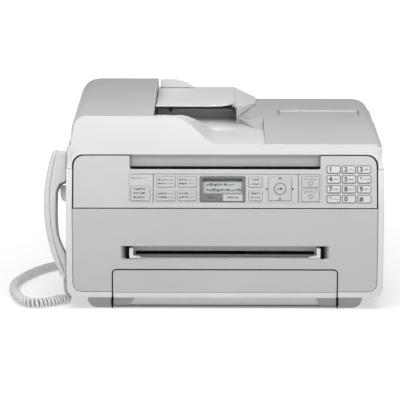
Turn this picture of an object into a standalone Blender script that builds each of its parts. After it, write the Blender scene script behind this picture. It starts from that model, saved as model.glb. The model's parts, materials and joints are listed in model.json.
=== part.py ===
"""Laser fax with a flatbed scanner, a document feeder and a handset on its left side.

Lengths are in millimetres, seen from the front: X to the right, Y to the back, Z up, with X = 0 on the
machine's centre plane and Z = 0 on the table. mesh_of() turns them into metres.
"""

import math

import bmesh
import bpy
from mathutils import Vector

MM = 0.001
GAP = 0.3  # clearance between pieces that meet

# overall
HALF_WIDTH = 198.5
FRONT, REAR = -180.0, 180.0
HANDSET_REACH = 229.3  # how far the handset stands out to the left
WALL = 2.5

# lower casing, from the table up
BASE_HALF_WIDTH = 173.0
BASE_FRONT = -168.0
SHELL_BOTTOM = 16.6
TRIM_TOP = 23.7
FRONT_HALF_WIDTH = 190.5  # front cover and control panel
FRONT_TOP = 131.0
SIDE_TOP = 177.7

# control panel, a plate that leans back; u runs along X, v up its slope and w out of it
PANEL_LEAN = math.radians(19.3)
PANEL_LENGTH = 66.6
PANEL_THICK = 3.0
PANEL_CORNER = 12.5
NOTCH_HALF_WIDTH = 119.0
NOTCH_FLOOR = 49.6
AREA_HALF_WIDTH = 120.2  # recessed area that holds the function keys
AREA_LOW, AREA_HIGH = 7.6, 43.9
AREA_DEPTH = 0.8
KEY_GAP = 0.4
KEY_ROOT = -6.0
BOARD_TOP = -7.5

# scanner unit and lid
HOUSING_BOTTOM, HOUSING_TOP = 178.4, 199.7
HOUSING_FRONT = -153.0
SKIRT_BACK = -118.0  # the lid's front corners reach down beside the housing as far back as this
LID_BOTTOM, LID_FLOOR = 200.1, 205.0
LID_BACK = 126.0
LID_TOP = 243.5
LID_RIGHT_TOP = 208.2
LID_SIDE = 197.4  # half the width across the lid's lower edge
SKIRT_INNER = 193.6
FEEDER_RIGHT = -89.3
RIGHT_COVER_LEFT = 50.3
HOOD_BOTTOM = 195.3
SHOULDER_BACK = -72.0  # rear edge of the shoulder behind the hood
EXIT_WALL = 32.0  # step at the back of the floor that scanned sheets land on
EXIT_DECK = 217.0
COVER_CREST = 215.7  # top of the right cover at its back

# paper path
CASSETTE_HALF_WIDTH = 140.4
CASSETTE_TOP = 51.7
CASSETTE_GAP = 1.5
FEED_HALF_WIDTH = 130.2
FEED_LOW, FEED_HIGH = 66.2, 82.9

# handset: its own frame stands at the bottom end, with local Z along the handset
HANDSET_TILT = math.radians(15.0)
HANDSET_BASE = (0.0, -142.8, 31.5)
HANDSET_HALF_WIDTH = 23.0
HANDSET_FACE = -200.6  # inner faces of both caps

# curly cord
CORD_RADIUS = 2.0
COIL_RADIUS = 6.5
COIL_HEIGHT = 6.9
CORD_EXIT = -202.3  # X of the jack in the handset's bottom end
BOOT_LENGTH = 11.0

WHITE = ((0.78, 0.78, 0.77), 0.42, 0.0)
GREY = ((0.50, 0.50, 0.50), 0.45, 0.0)
PANEL_GREY = ((0.56, 0.56, 0.56), 0.45, 0.0)
DARK_GREY = ((0.22, 0.22, 0.22), 0.55, 0.0)
BLACK = ((0.02, 0.02, 0.02), 0.5, 0.0)
GLASS = ((0.10, 0.13, 0.12), 0.05, 0.0)
DISPLAY = ((0.62, 0.66, 0.62), 0.2, 0.0)
BOARD_GREEN = ((0.03, 0.22, 0.10), 0.5, 0.0)
RUBBER = ((0.05, 0.05, 0.05), 0.8, 0.0)
STEEL = ((0.6, 0.6, 0.6), 0.3, 1.0)


# ---------------------------------------------------------------- outlines


def arc(centre, radius, start, end, steps=6):
    """Points on an arc, its angles in degrees."""
    angles = [math.radians(start + (end - start) * i / steps) for i in range(steps + 1)]
    return [(centre[0] + radius * math.cos(a), centre[1] + radius * math.sin(a)) for a in angles]


def rounded(corners, steps=4):
    """An outline from (x, y, radius) corners, each radius turned into an arc that meets both sides."""
    points = []
    for i, (x, y, radius) in enumerate(corners):
        here = Vector((x, y))
        if not radius:
            points.append((x, y))
            continue
        before = (Vector(corners[i - 1][:2]) - here).normalized()
        after = (Vector(corners[(i + 1) % len(corners)][:2]) - here).normalized()
        half = before.angle(after) / 2
        reach = radius / math.tan(half)
        centre = here + (before + after).normalized() * radius / math.sin(half)
        first = here + before * reach - centre
        last = here + after * reach - centre
        turn = first.angle_signed(last)
        for k in range(steps + 1):
            angle = math.atan2(first.y, first.x) - turn * k / steps
            points.append((centre.x + radius * math.cos(angle), centre.y + radius * math.sin(angle)))
    return points


def rectangle(x, y, radius=0.0, steps=3):
    (x0, x1), (y0, y1) = x, y
    return rounded([(x0, y0, radius), (x1, y0, radius), (x1, y1, radius), (x0, y1, radius)], steps)


def circle(centre, radius, steps=20):
    return arc(centre, radius, 0, 360 - 360 / steps, steps - 1)


def smooth(points, steps=6):
    """Points on a Catmull-Rom curve through the given ones, of any dimension."""
    ends = [[2 * a - b for a, b in zip(points[0], points[1])], [2 * a - b for a, b in zip(points[-1], points[-2])]]
    knots = [ends[0], *points, ends[1]]
    curve = []
    for p0, p1, p2, p3 in zip(knots, knots[1:], knots[2:], knots[3:]):
        for k in range(steps):
            t = k / steps
            curve.append(
                tuple(
                    0.5 * (2 * b + (c - a) * t + (2 * a - 5 * b + 4 * c - d) * t**2 + (3 * b - a - 3 * c + d) * t**3)
                    for a, b, c, d in zip(p0, p1, p2, p3)
                )
            )
    curve.append(tuple(points[-1]))
    return curve


# ---------------------------------------------------------------- solids


def prism(axis, outline, low, high):
    """An outline pushed along an axis: (y, z) along x, (x, z) along y, (x, y) along z."""
    place = {
        "x": lambda a, b, c: (c, a, b),
        "y": lambda a, b, c: (a, c, b),
        "z": lambda a, b, c: (a, b, c),
    }[axis]
    count = len(outline)
    points = [place(a, b, level) for level in (low, high) for a, b in outline]
    faces = [list(range(count)), list(range(count, 2 * count))]
    faces += [[i, (i + 1) % count, count + (i + 1) % count, count + i] for i in range(count)]
    return points, faces


def block(x, y, z):
    return prism("z", rectangle(x, y), *z)


def mesh_of(name, shapes, origin):
    mesh = bpy.data.meshes.new(name)
    built = bmesh.new()
    for points, faces in shapes:
        corners = [built.verts.new((Vector(p) - Vector(origin)) * MM) for p in points]
        for face in faces:
            built.faces.new([corners[i] for i in face])
    bmesh.ops.recalc_face_normals(built, faces=built.faces)
    built.to_mesh(mesh)
    built.free()
    mesh.shade_smooth()
    mesh.set_sharp_from_angle(angle=math.radians(30))
    return mesh


def material_of(name, finish):
    colour, roughness, metallic = finish
    material = bpy.data.materials.new(name)
    material.use_nodes = True
    shader = material.node_tree.nodes["Principled BSDF"]
    shader.inputs["Base Color"].default_value = (*colour, 1.0)
    shader.inputs["Roughness"].default_value = roughness
    shader.inputs["Metallic"].default_value = metallic
    return material


def frame(name, place, tilt=0.0, parent=None):
    """An empty that its pieces are placed from."""
    empty = bpy.data.objects.new(name, None)
    bpy.context.collection.objects.link(empty)
    empty.location = Vector(place) * MM
    empty.rotation_euler = (tilt, 0.0, 0.0)
    empty.parent = parent
    return empty


def placed(name, shapes, parent, origin=(0, 0, 0)):
    item = bpy.data.objects.new(name, mesh_of(name, shapes, origin))
    bpy.context.collection.objects.link(item)
    item.location = Vector(origin) * MM
    item.parent = parent
    return item


def join(*shapes):
    return [("UNION", shape) for shape in shapes]


def keep(*shapes):
    return [("INTERSECT", shape) for shape in shapes]


def cut(*shapes):
    return [("DIFFERENCE", shape) for shape in shapes]


def carve(item, parent, steps):
    """Adds one Boolean for each (operation, shape). A shape may come as a (shape, frame) pair or as a tool."""
    for i, (operation, shape) in enumerate(steps):
        where = parent
        if isinstance(shape, tuple) and isinstance(shape[1], bpy.types.Object):
            shape, where = shape
        tool = shape if isinstance(shape, bpy.types.Object) else placed(f"{item.name}_tool_{i}", [shape], where)
        tool.hide_render = True
        tool.display_type = "WIRE"
        step = item.modifiers.new(f"{operation.lower()}_{i}", "BOOLEAN")
        step.operation = operation
        step.object = tool
    return item


def tool_of(name, base, parent, steps):
    """A hidden solid of several steps, for use in another one's."""
    return carve(placed(name, [base], parent), parent, steps)


def piece(name, finish, base, parent, steps=(), origin=(0, 0, 0)):
    """One closed solid: base, changed by its steps in turn."""
    item = placed(name, [base], parent, origin)
    item.data.materials.append(material_of(name, finish))
    return carve(item, parent, steps)


def tube(name, finish, route, radius, parent, smoothness=4, bevel_resolution=2):
    curve = bpy.data.curves.new(name, "CURVE")
    curve.dimensions = "3D"
    curve.bevel_depth = radius * MM
    curve.bevel_resolution = bevel_resolution
    curve.use_fill_caps = True
    points = smooth(route, smoothness)
    spline = curve.splines.new("POLY")
    spline.points.add(len(points) - 1)
    for point, place in zip(spline.points, points):
        point.co = (*(Vector(place) * MM), 1.0)
    item = bpy.data.objects.new(name, curve)
    bpy.context.collection.objects.link(item)
    item.parent = parent
    curve.materials.append(material_of(name, finish))
    return item


def roller(name, finish, axis, centre, core, shaft, parent):
    """A roller on its shaft. core and shaft are (radius, low end, high end) along the axis."""
    along = {"x": 0, "y": 1}[axis]
    flat = [c for i, c in enumerate(centre) if i != along]
    body = prism(axis, circle(flat, core[0]), core[1], core[2])
    rod = prism(axis, circle(flat, shaft[0], 12), shaft[1], shaft[2])
    return piece(name, finish, body, parent, join(rod), origin=centre)


# ---------------------------------------------------------------- casing


def front_depth(z):
    """Y of the casing's front at a height: upright, then leaning back with the control panel."""
    return FRONT + max(0.0, z - FRONT_TOP) * math.tan(PANEL_LEAN)


def base_chassis(machine):
    skirt = rounded(
        [
            (-BASE_HALF_WIDTH, 16.0, 0),
            (-BASE_HALF_WIDTH, 0.0, 12.0),
            (BASE_HALF_WIDTH, 0.0, 12.0),
            (BASE_HALF_WIDTH, 16.0, 0),
            (143.5, 16.0, 0),
            (143.5, 2.2, 0),
            (-143.5, 2.2, 0),
            (-143.5, 16.0, 0),
        ]
    )
    frames = [block(sorted((side * 150.0, side * 153.0)), (-148.0, 166.0), (10.0, 172.0)) for side in (-1, 1)]
    deck = block((-151.0, 151.0), (-100.0, 165.0), (54.0, 57.0))
    back_beam = block((-151.0, 151.0), (150.0, 165.0), (20.0, 56.0))
    piece("base_chassis", DARK_GREY, prism("y", skirt, BASE_FRONT, 172.0), machine, join(*frames, deck, back_beam))


def side_cover(machine, name, side, cradle=None):
    """A side wall with the front strip and the foot that wrap round the front cover."""
    edge, foot = side * HALF_WIDTH, side * (CASSETTE_HALF_WIDTH + CASSETTE_GAP)
    low, high = SHELL_BOTTOM, SIDE_TOP
    thick = 6.0
    strip = [
        (FRONT, low),
        (FRONT, FRONT_TOP),
        (front_depth(high), high),
        (front_depth(high) + thick, high),
        (FRONT + thick, FRONT_TOP),
        (FRONT + thick, low),
    ]
    wall = block(sorted((edge, edge - side * WALL)), (FRONT + 3, 176.0), (low, high))
    slope = [(FRONT + 3, low), (FRONT + 3, FRONT_TOP), (front_depth(high) + 3, high), (250.0, high), (250.0, low)]
    holes = []
    if cradle:
        hook_hole = prism("y", rectangle((-201.0, -190.0), (137.0, 145.0)), -4.0, 4.0)
        jack = block((-201.0, -190.0), (21.0, 29.0), (26.0, 34.0))
        holes = cut((hook_hole, cradle), jack)
    trimmed = keep(prism("x", slope, *sorted((edge - side * 30, edge + side * 5))))
    side_wall = tool_of(f"{name}_wall", wall, machine, trimmed + holes)
    opening = rectangle((-FRONT_HALF_WIDTH - 0.6, FRONT_HALF_WIDTH + 0.6), (TRIM_TOP, 400.0), 10.6)
    rim = rounded([(edge, low, 12.0), (edge, 400.0, 0), (0.0, 400.0, 0), (0.0, low, 0)])
    steps = cut(prism("y", opening, FRONT - 5, FRONT + 60)) + holes + join(side_wall)
    steps += keep(prism("y", rim, FRONT - 5, REAR + 5))
    piece(name, WHITE, prism("x", strip, *sorted((edge, foot))), machine, steps)


def rear_pieces(machine):
    wall = prism("y", rectangle((-195.0, 195.0), (SHELL_BOTTOM, 176.5), 4.0), REAR - 3.5, REAR)
    doorway = block((-110.0, 110.0), (REAR - 10, REAR + 10), (59.6, 150.0))
    vents = [block((x, x + 26.0), (REAR - 10, REAR + 10), (158.0, 162.0)) for x in (-150.0, -110.0, 84.0, 124.0)]
    inlet = block((132.0, 160.0), (REAR - 10, REAR + 10), (30.0, 50.0))
    piece("rear_cover", GREY, wall, machine, cut(doorway, *vents, inlet))
    door = block((-109.6, 109.6), (REAR - 3.2, REAR), (60.5, 149.6))
    pull = block((-20.0, 20.0), (REAR - 1.5, REAR + 5), (143.0, 147.0))
    piece("rear_door", GREY, door, machine, cut(pull), origin=(0, REAR - 1.6, 62.1))


def front_cover(machine):
    face = rounded(
        [
            (-FRONT_HALF_WIDTH, TRIM_TOP + 0.6, 10.0),
            (FRONT_HALF_WIDTH, TRIM_TOP + 0.6, 10.0),
            (FRONT_HALF_WIDTH, FRONT_TOP - 0.2, 0),
            (-FRONT_HALF_WIDTH, FRONT_TOP - 0.2, 0),
        ]
    )
    half, low, high = FEED_HALF_WIDTH, FEED_LOW, FEED_HIGH
    pocket = block((-half - 2, half + 2), (FRONT + 1, FRONT + 17), (low - 2, high + 2))
    mouth = block((-half, half), (FRONT - 5, FRONT + 14.5), (low, high))
    slot = block((-112.0, 112.0), (FRONT + 10, FRONT + 20), (68.6, 73.4))
    top = CASSETTE_TOP + CASSETTE_GAP
    below = CASSETTE_HALF_WIDTH + CASSETTE_GAP
    cassette = prism("y", rectangle((-below, below), (0.0, top), 5.5), FRONT - 5, FRONT + 5)
    plate = prism("y", face, FRONT, FRONT + 3)
    piece("front_cover", GREY, plate, machine, join(pocket) + cut(mouth, slot, cassette))


def cassette(machine):
    half = CASSETTE_HALF_WIDTH
    section = [
        (FRONT, SHELL_BOTTOM),
        (FRONT, CASSETTE_TOP),
        (FRONT + 13.5, CASSETTE_TOP),
        (FRONT + 13.5, CASSETTE_TOP - WALL),
        (FRONT + 3, CASSETTE_TOP - WALL),
        (FRONT + 3, SHELL_BOTTOM + WALL),
        (FRONT + 14.5, SHELL_BOTTOM + WALL),
        (FRONT + 14.5, 2.6),
        (BASE_FRONT + 0.5, 2.6),
        (BASE_FRONT + 0.5, SHELL_BOTTOM),
    ]
    corners = prism("y", rectangle((-half, half), (-20.0, CASSETTE_TOP), 4.0), FRONT - 5, FRONT + 30)
    grip = [(-121.0, 1.0), (121.0, 1.0), (114.0, 13.5), (-114.0, 13.5)]
    grip_space = prism("y", grip, FRONT, FRONT + 16)
    piece("cassette_front", GREY, prism("x", section, -half, half), machine, keep(corners) + cut(grip_space))
    tray = block((-134.0, 134.0), (-165.2, 132.0), (2.6, 44.0))
    room = block((-132.0, 132.0), (-162.5, 130.0), (4.8, 50.0))
    back = block((-140.0, 140.0), (100.0, 140.0), (36.0, 50.0))
    piece("cassette_tray", DARK_GREY, tray, machine, cut(room, back))
    plate = block((-105.0, 105.0), (-150.0, 90.0), (6.0, 7.2))
    slot = block((-55.0, 55.0), (-160.0, -132.0), (0.0, 20.0))
    piece("lift_plate", STEEL, plate, machine, cut(slot), origin=(0, 88.0, 6.6))


def paper_guides(machine):
    for name, side in (("manual_guide_left", -1), ("manual_guide_right", 1)):
        upright = block(sorted((side * 119.6, side * 114.8)), (FRONT + 0.8, FRONT + 13.6), (66.8, 79.8))
        foot = [(side * 115.5, 66.8), (side * 104.5, 66.8), (side * 107.0, 68.4), (side * 115.5, 69.6)]
        shelf = prism("y", foot, FRONT + 0.8, FRONT + 10.0)
        piece(name, GREY, upright, machine, join(shelf), origin=(side * 117.2, FRONT + 7, 73.0))


# ---------------------------------------------------------------- control panel

KEY_NAMES = [f"key_{mark}" for mark in (*range(1, 10), "star", 0, "hash")]
KEY_SIZE = (16.0, 8.6)
KEY_PITCH = (19.1, 12.4)
KEY_FIRST = (135.4, 49.4)  # centre of key_1
KEY_HEIGHT = 1.1
AREA_KEY_HEIGHT = 0.1  # keys of the recessed area stand this far above the panel's face


def keys():
    """Every push key of the panel: its name, centre, size and height over the panel's face."""
    found = {}
    for i, name in enumerate(KEY_NAMES):
        centre = (KEY_FIRST[0] + KEY_PITCH[0] * (i % 3), KEY_FIRST[1] - KEY_PITCH[1] * (i // 3))
        found[name] = (centre, KEY_SIZE, KEY_HEIGHT)
    found["answer_mode_button"] = ((-105.6, 19.1), (24.0, 18.3), AREA_KEY_HEIGHT)
    for i in range(4):
        centre = (-73.7 + 26.5 * (i % 2), 33.7 - 17.1 * (i // 2))
        found[f"function_button_{i + 1}"] = (centre, (23.6, 13.2), AREA_KEY_HEIGHT)
    found["menu_button"] = ((37.9, 33.4), (17.1, 12.6), AREA_KEY_HEIGHT)
    found["redial_button"] = ((37.9, 16.4), (17.1, 12.6), AREA_KEY_HEIGHT)
    found["stop_button"] = ((106.4, 33.7), (22.4, 13.3), AREA_KEY_HEIGHT)
    found["start_button"] = ((106.4, 16.9), (22.4, 15.4), AREA_KEY_HEIGHT)
    return found


NAV_CENTRE, NAV_SIZE = (68.6, 25.1), (29.0, 29.2)
OK_RADIUS = 6.7
DISPLAY_LOW, DISPLAY_HIGH = (-31.4, 9.0), (25.3, 40.8)  # corners of the display's frame
WINDOW_LOW, WINDOW_HIGH = (-27.6, 19.4), (21.6, 38.0)


def around(centre, size, grow=0.0, radius=1.6, steps=2):
    (u, v), (width, height) = centre, size
    across = (u - width / 2 - grow, u + width / 2 + grow)
    up = (v - height / 2 - grow, v + height / 2 + grow)
    return rectangle(across, up, radius + grow, steps)


def control_panel(machine, panel):
    half, top = FRONT_HALF_WIDTH - 1.3, PANEL_LENGTH
    notch = NOTCH_HALF_WIDTH
    outline = rounded(
        [
            (-half, 1.2, 0),
            (half, 1.2, 0),
            (half, top, PANEL_CORNER),
            (notch, top, 0.6),
            (notch, NOTCH_FLOOR, 2.5),
            (-notch, NOTCH_FLOOR, 2.5),
            (-notch, top, 0.6),
            (-half, top, PANEL_CORNER),
        ]
    )
    area = rectangle((-AREA_HALF_WIDTH, AREA_HALF_WIDTH), (AREA_LOW, AREA_HIGH), 3.0, 2)
    window = rectangle(
        (DISPLAY_LOW[0] - GAP, DISPLAY_HIGH[0] + GAP), (DISPLAY_LOW[1] - GAP, DISPLAY_HIGH[1] + GAP), 1.0, 1
    )
    deep = (-PANEL_THICK - 2, 4.0)
    holes = [prism("z", around(centre, size, KEY_GAP), *deep) for centre, size, _ in keys().values()]
    holes.append(prism("z", around(NAV_CENTRE, NAV_SIZE, KEY_GAP), *deep))
    holes.append(prism("z", window, *deep))
    exit_shelf = block((-121.5, 121.5), (-164.5, -93.5), (170.0, 172.5))
    steps = join((exit_shelf, machine)) + cut(prism("z", area, -AREA_DEPTH, 4.0), *holes)
    piece("control_panel", PANEL_GREY, prism("z", outline, -PANEL_THICK, 0.0), panel, steps)


def panel_keys(panel):
    for name, (centre, size, height) in keys().items():
        finish = WHITE if name.startswith("key_") else PANEL_GREY
        origin = (*centre, 0.0)
        piece(name, finish, prism("z", around(centre, size), KEY_ROOT, height), panel, origin=origin)
    ring = prism("z", around(NAV_CENTRE, NAV_SIZE), KEY_ROOT, AREA_KEY_HEIGHT)
    bore = prism("z", circle(NAV_CENTRE, OK_RADIUS + KEY_GAP, 24), KEY_ROOT - 2, 4.0)
    piece("nav_pad", PANEL_GREY, ring, panel, cut(bore), origin=(*NAV_CENTRE, 0.0))
    button = prism("z", circle(NAV_CENTRE, OK_RADIUS, 24), KEY_ROOT, AREA_KEY_HEIGHT + 0.3)
    piece("ok_button", PANEL_GREY, button, panel, origin=(*NAV_CENTRE, 0.0))


def display(panel):
    across, up = zip(DISPLAY_LOW, DISPLAY_HIGH)
    opening = prism("z", rectangle(*zip(WINDOW_LOW, WINDOW_HIGH), 0.8, 1), -6.0, 3.0)
    piece("display_frame", BLACK, prism("z", rectangle(across, up, 1.0, 1), -4.0, 0.2), panel, cut(opening))
    glass = rectangle((WINDOW_LOW[0] - 2, WINDOW_HIGH[0] + 2), (WINDOW_LOW[1] - 2, WINDOW_HIGH[1] + 2))
    piece("display_screen", DISPLAY, prism("z", glass, -6.4, -4.3), panel)
    board = [(-184.0, 3.0), (184.0, 3.0), (184.0, 54.0), (124.0, 54.0), (124.0, 39.0), (-184.0, 39.0)]
    piece("control_board", BOARD_GREEN, prism("z", board, BOARD_TOP - 1.6, BOARD_TOP), panel)


# ---------------------------------------------------------------- inside the machine


def print_engine(machine):
    section = rounded(
        [(-70.0, 92.0, 6), (-20.0, 84.0, 6), (22.0, 96.0, 6), (22.0, 132.0, 6), (-40.0, 140.0, 8), (-70.0, 124.0, 6)], 3
    )
    drum = prism("x", circle((-8.0, 88.0), 12.0), -112.0, 112.0)
    trunnions = prism("x", circle((-24.0, 112.0), 8.0, 12), -149.0, 149.0)
    piece("toner_cartridge", BLACK, prism("x", section, -118.0, 118.0), machine, join(drum, trunnions))
    roller("fuser_roller", STEEL, "x", (0, 110.0, 104.0), (14.0, -112.0, 112.0), (5.0, -148.0, 148.0), machine)
    roller("exit_roller", RUBBER, "x", (0, -84.0, 165.0), (8.0, -100.0, 100.0), (3.0, -148.0, 148.0), machine)
    roller("pickup_roller", RUBBER, "x", (0, -118.0, 50.5), (10.0, -24.0, 24.0), (3.0, -148.0, 148.0), machine)


# ---------------------------------------------------------------- scanner unit and lid


def scanner_unit(machine):
    narrow, wide = SKIRT_INNER - 0.6, LID_SIDE - 0.8
    plan = rounded(
        [
            (-narrow, HOUSING_FRONT, 0),
            (narrow, HOUSING_FRONT, 0),
            (narrow, SKIRT_BACK, 0),
            (wide, SKIRT_BACK, 0),
            (wide, 178.0, 75.0),
            (-wide, 178.0, 75.0),
            (-wide, SKIRT_BACK, 0),
            (-narrow, SKIRT_BACK, 0),
        ],
        8,
    )
    room = block((-190.0, 190.0), (-148.0, 118.0), (HOUSING_BOTTOM + 2.2, HOUSING_TOP - 2.5))
    window = block((-162.0, 162.0), (-122.0, 98.0), (HOUSING_TOP - 6, HOUSING_TOP + 5))
    knuckles = [block((x - 12, x + 12), (128.5, 146.0), (HOUSING_TOP - 1, 203.5)) for x in (-135.0, 135.0)]
    body = prism("z", plan, HOUSING_BOTTOM, HOUSING_TOP)
    steps = join(*knuckles) + cut(room, window)
    piece("scanner_housing", GREY, body, machine, steps, origin=(0, 178.0, 180.0))
    glass = block((-161.6, 161.6), (-121.6, 97.6), (HOUSING_TOP - 2.6, HOUSING_TOP - 0.1))
    piece("scanner_glass", GLASS, glass, machine)
    bar = prism("y", rectangle((-152.0, -128.0), (HOUSING_BOTTOM + 3.2, HOUSING_TOP - 4.0), 2.0, 2), -116.0, 92.0)
    piece("scan_carriage", DARK_GREY, bar, machine, origin=(-140.0, 0, 188.0))


def hood_profile():
    """The lid's front outline over the control panel: the S-shaped step down to the lower right side."""
    step = [
        (-80.0, LID_TOP - 0.1),
        (-71.5, LID_TOP - 0.3),
        (-61.6, 242.2),
        (-51.7, 238.1),
        (-41.7, 231.1),
        (-31.8, 222.2),
        (-24.3, 215.2),
        (-16.8, 210.6),
        (-9.3, LID_RIGHT_TOP + 0.4),
        (0.0, LID_RIGHT_TOP),
    ]
    return smooth(step, 3)


def lid_left():
    """The lid's left side as seen from the front: a leaning wall with a round top corner."""
    corner = arc((-173.4, 227.7), 15.8, 172, 90, 11)
    return [(-195.9, 196.0), (-194.3, 202.0), (-192.6, 209.0), (-191.2, 217.0), (-190.2, 224.0), *corner]


def cover_left():
    """The feeder cover's left side, which bulges a little past the lid's front."""
    return [(-194.2, 206.0), (-193.2, 214.0), (-192.0, 223.0), *arc((-175.2, 227.0), 16.5, 174, 90, 11)]


def hood_section(front, bend, thick=2.4):
    """The hood's wall from the side: upright over the panel, and leaning like it below the bend."""
    lean = math.tan(PANEL_LEAN)
    outer = [(front - 20 * lean, bend - 20), (front, bend), (front + 1.5, LID_TOP + 5)]
    return outer + [(y + thick, z) for y, z in reversed(outer)]


def document_lid(machine):
    front = front_depth(HOOD_BOTTOM)
    corner = FRONT_HALF_WIDTH + 1.0
    edge = LID_SIDE
    inner = rounded(
        [
            (corner, 170.0, 0),
            (corner, HOOD_BOTTOM, PANEL_CORNER + 0.8),
            (-corner, HOOD_BOTTOM, PANEL_CORNER + 0.8),
            (-corner, 170.0, 0),
        ],
        6,
    )
    face = [*lid_left(), *hood_profile(), *arc((183.9, 196.2), 12.0, 90, 0, 8), (edge, HOUSING_BOTTOM)]
    face += [(corner, HOUSING_BOTTOM), *inner[1:-1], (-corner, HOUSING_BOTTOM), (-edge, HOUSING_BOTTOM)]

    plan = rounded(
        [(-196.6, front + 1, 0), (196.6, front + 1, 0), (193.5, LID_BACK, 64.0), (-193.0, LID_BACK, 64.0)], 8
    )
    plate = prism("z", plan, LID_BOTTOM, LID_FLOOR)
    skirts = [
        block(sorted((side * (edge - 0.9), side * SKIRT_INNER)), (front - 4.0, SKIRT_BACK - GAP), (HOUSING_BOTTOM, 201.5))
        for side in (-1, 1)
    ]
    left, right = FEEDER_RIGHT + 0.8, RIGHT_COVER_LEFT - GAP
    shoulder = [(left, 204.0), (left, LID_TOP - 0.3), *hood_profile(), (right, LID_RIGHT_TOP), (right, 204.0)]
    shoulder_plan = [
        (-100.0, -170.0),
        (60.0, -170.0),
        (60.0, SHOULDER_BACK),
        (-27.0, SHOULDER_BACK),
        (-64.0, -146.0),
        (-100.0, -146.0),
    ]
    behind_hood = tool_of(
        "document_lid_shoulder",
        prism("y", shoulder, front + 1, SHOULDER_BACK),
        machine,
        keep(prism("z", shoulder_plan, 190.0, 260.0)),
    )
    ramp = [(-46.0, 204.5), (-7.3, 204.5), (-7.3, 211.8), (-9.0, 211.8), (-46.0, 205.1)]
    ramp_plan = [(19.0, -7.0), (60.0, -7.0), (60.0, -50.0), (44.0, -50.0)]
    wedge = tool_of(
        "document_lid_wedge",
        prism("x", ramp, 15.0, right),
        machine,
        keep(prism("z", ramp_plan, 190.0, 260.0)),
    )
    deck = block((-88.4, 14.7), (EXIT_WALL, 115.0), (204.0, EXIT_DECK))
    stand = block((-86.0, 12.0), (112.0, 115.0), (204.0, 228.4))
    pad_room = block((-163.0, 163.0), (-124.0, 101.0), (LID_BOTTOM - 5, 202.6))
    steps = keep(prism("x", hood_section(front, HOOD_BOTTOM), -210.0, 210.0))
    steps += join(plate, behind_hood, wedge, deck, stand, *skirts) + cut(pad_room)
    piece("document_lid", WHITE, prism("y", face, FRONT, 0.0), machine, steps, origin=(0, 130.0, 202.0))
    pad = block((-160.0, 160.0), (-121.0, 98.0), (LID_BOTTOM + 0.1, 202.3))
    piece("platen_pad", WHITE, pad, machine)


def cover_height(y):
    """The right cover's top: a shallow arch that rises to its crest near the back."""
    front, crest = front_depth(HOOD_BOTTOM), 100.0
    return COVER_CREST - (COVER_CREST - LID_RIGHT_TOP) * ((crest - y) / (crest - front)) ** 2


def right_top_cover(machine):
    front = front_depth(HOOD_BOTTOM) + 2.9
    back = LID_BACK - GAP
    low = LID_FLOOR + GAP
    arch = [(y, cover_height(y)) for y in [front + (100.0 - front) * i / 8 for i in range(9)]]
    end = arc((back - 12.0, COVER_CREST - 12.2), 12.0, 88, 10, 5)
    section = [(front, low), *arch, *end, (back, low)]
    side = [(15.0, low), (15.0, 230.0), (180.0, 230.0), *arc((177.2, 197.2), 18.5, 90, 30, 9), (195.6, low)]
    plan = rounded(
        [
            (RIGHT_COVER_LEFT, front - 5, 0),
            (210.0, front - 5, 0),
            (194.8, 0.0, 260.0),
            (188.0, LID_BACK, 50.0),
            (15.0, LID_BACK, 0),
            (15.0, -7.0, 0),
            (RIGHT_COVER_LEFT, -7.0, 0),
        ],
        8,
    )
    room = block((RIGHT_COVER_LEFT + WALL, 180.0), (front + WALL, 86.0), (low - 5, 206.0))
    deepest, fore = 34.5, -5.0
    level = cover_height(deepest)
    recess = [(deepest, level - 1.8), (deepest, level + 5), (fore, level + 5), (fore, cover_height(fore))]
    steps = keep(prism("y", side, -200.0, 200.0), prism("z", plan, 190.0, 260.0))
    steps += cut(room, prism("x", recess, 70.5, 176.0))
    piece("right_top_cover", GREY, prism("x", section, 15.0, 200.0), machine, steps)


def document_feeder(machine):
    front = front_depth(HOOD_BOTTOM) + 4.3
    back = LID_BACK - GAP
    low = LID_FLOOR + GAP
    outline = [(-194.3, low), *cover_left(), (FEEDER_RIGHT, LID_TOP), (FEEDER_RIGHT, low)]
    inside = [
        (-191.6, low - 5),
        (-190.4, 214.0),
        (-188.6, 226.0),
        (-176.0, LID_TOP - WALL),
        (-60.0, LID_TOP - WALL),
        (-60.0, low - 5),
    ]
    plan = rounded(
        [
            (-192.4, front, 0),
            (-60.0, front, 0),
            (-60.0, back, 0),
            (-187.6, back, 58.0),
            (-194.4, -40.0, 300.0),
        ],
        10,
    )
    section = rounded([(front, low, 0), (front, LID_TOP, 1.0), (back, LID_TOP, 14.0), (back, low, 0)], 8)
    room_plan = rounded([(-189.0, -170.0, 0), (-50.0, -170.0, 0), (-50.0, 104.0, 0), (-183.0, 104.0, 50.0)], 8)
    room = tool_of(
        "feeder_cover_room",
        prism("y", inside, front + WALL, 110.0),
        machine,
        keep(prism("z", room_plan, 190.0, 260.0)),
    )
    steps = keep(prism("z", plan, 190.0, 260.0), prism("x", section, -210.0, -60.0)) + cut(room)
    body = prism("y", outline, front, back)
    piece("feeder_cover", GREY, body, machine, steps, origin=(-194.0, 0, low + 0.2))
    roller("feed_roller", RUBBER, "y", (-126.0, 10.0, 222.0), (11.0, -45.0, 55.0), (3.0, -146.0, 84.0), machine)


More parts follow.
